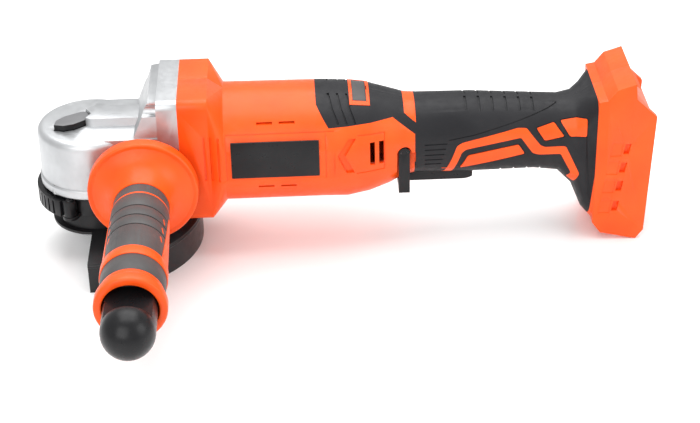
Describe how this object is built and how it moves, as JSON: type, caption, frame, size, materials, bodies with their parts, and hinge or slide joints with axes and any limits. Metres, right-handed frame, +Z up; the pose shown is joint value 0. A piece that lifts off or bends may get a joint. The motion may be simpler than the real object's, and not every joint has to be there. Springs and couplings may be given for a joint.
{
  "type": "angle grinder",
  "caption": "Cordless angle grinder with a bevel gear head, half wheel guard, screwed-in side handle, paddle switch and an empty battery foot.",
  "frame": {"origin": "centre of the wheel spindle's lower end face", "axes": "+Z up along the spindle; +X back along the motor axis to the battery foot; -Y is the side that the handle stands on"},
  "size_m": [0.3831, 0.2782, 0.1099],
  "materials": {
    "cast_metal": "bead-blasted die casting",
    "steel": "ground steel",
    "bronze": "sintered bronze and brass",
    "copper": "copper",
    "lamination": "stacked laminations",
    "magnet": "ferrite",
    "carbon": "carbon",
    "orange_plastic": "satin moulded plastic",
    "black_rubber": "soft overmoulded rubber",
    "grey_rubber": "soft grip rubber",
    "black_plastic": "moulded plastic",
    "button_grey": "moulded plastic",
    "board": "glass-fibre board",
    "lead_red": "insulated wire",
    "black_paint": "black coated steel"
  },
  "bodies": {
    "casing": {"gear_case": "cast_metal", "bearing_cover": "cast_metal", "bearing_cover_screws": "steel", "gear_case_screws": "steel", "spindle_bearing": "steel", "spindle_bush": "bronze", "dust_seal": "black_rubber", "lock_spring": "steel", "motor_can": "steel", "motor_magnets": "magnet", "brush_plate": "black_plastic", "brush_holders": "bronze", "carbon_brushes": "carbon", "brush_springs": "steel", "front_bearing": "steel", "rear_bearing": "steel", "fan_baffle": "black_plastic", "housing_left": "orange_plastic", "housing_right": "orange_plastic", "overmould_left": "black_rubber", "overmould_right": "black_rubber", "grip_band": "orange_plastic", "top_insert": "grey_rubber", "nameplate_left": "black_plastic", "nameplate_right": "black_plastic", "housing_screws": "steel", "paddle_pin": "steel", "paddle_spring": "steel", "switch_body": "black_plastic", "control_board": "board", "terminal_block": "black_plastic", "terminal_blades": "bronze", "power_leads": "lead_red", "handle_core": "orange_plastic", "handle_grip": "grey_rubber", "handle_end_ring": "orange_plastic", "handle_stud": "steel"},
    "rotor": {"armature_shaft": "steel", "armature_core": "lamination", "armature_windings": "copper", "commutator": "copper", "cooling_fan": "black_plastic", "pinion_gear": "steel"},
    "spindle": {"spindle": "steel", "spindle_circlip": "steel", "bevel_gear": "steel", "inner_flange": "steel", "flange_nut": "steel"},
    "lock_button": {"lock_button": "button_grey", "lock_pin": "steel"},
    "guard": {"wheel_guard": "black_paint", "guard_band": "black_paint", "guard_lever_pin": "steel"},
    "guard_lever": {"guard_lever": "black_plastic"},
    "paddle": {"paddle": "black_plastic", "lock_off_pin": "steel"},
    "lock_off": {"lock_off_lever": "black_plastic"},
    "plunger": {"switch_plunger": "black_plastic"},
    "key": {"key_knob": "black_plastic", "hex_key": "steel"}
  },
  "joints": [
    {"name": "spindle_spin", "type": "hinge", "parent": "casing", "child": "spindle", "pos_m": [0, 0, 0.03], "axis": [0, 0, 1], "continuous": true},
    {"name": "rotor_spin", "type": "hinge", "parent": "casing", "child": "rotor", "pos_m": [0.11, 0, 0.061], "axis": [1, 0, 0], "continuous": true},
    {"name": "lock_button_press", "type": "slide", "parent": "casing", "child": "lock_button", "axis": [0, 0, -1], "range_m": [0, 0.0035], "stiffness_N_per_m": 900, "deforming": ["lock_spring"]},
    {"name": "guard_turn", "type": "hinge", "parent": "casing", "child": "guard", "pos_m": [0, 0, 0.03], "axis": [0, 0, 1], "range_deg": [-90, 45]},
    {"name": "guard_lever_swing", "type": "hinge", "parent": "guard", "child": "guard_lever", "pos_m": [-0.01407, -0.02762, 0.0335], "axis": [0, 0, 1], "range_deg": [0, 35]},
    {"name": "paddle_squeeze", "type": "hinge", "parent": "casing", "child": "paddle", "pos_m": [0.1928, 0, 0.061], "axis": [0, -1, 0], "range_deg": [0, 5.5], "stiffness_Nm_per_rad": 0.6, "deforming": ["paddle_spring"]},
    {"name": "lock_off_swing", "type": "hinge", "parent": "paddle", "child": "lock_off", "pos_m": [0.1928, 0, 0.037], "axis": [0, -1, 0], "range_deg": [0, 20], "stiffness_Nm_per_rad": 0.05},
    {"name": "plunger_press", "type": "slide", "parent": "casing", "child": "plunger", "axis": [0, 0, 1], "range_m": [0, 0.0029]},
    {"name": "key_pull", "type": "slide", "parent": "casing", "child": "key", "axis": [0, -1, 0], "range_m": [0, 0.09]}
  ],
  "couplings": [
    {"joint": "rotor_spin", "follows": "spindle_spin", "ratio": 3.7},
    {"joint": "plunger_press", "follows": "paddle_squeeze", "m_per_rad": 0.0292}
  ]
}
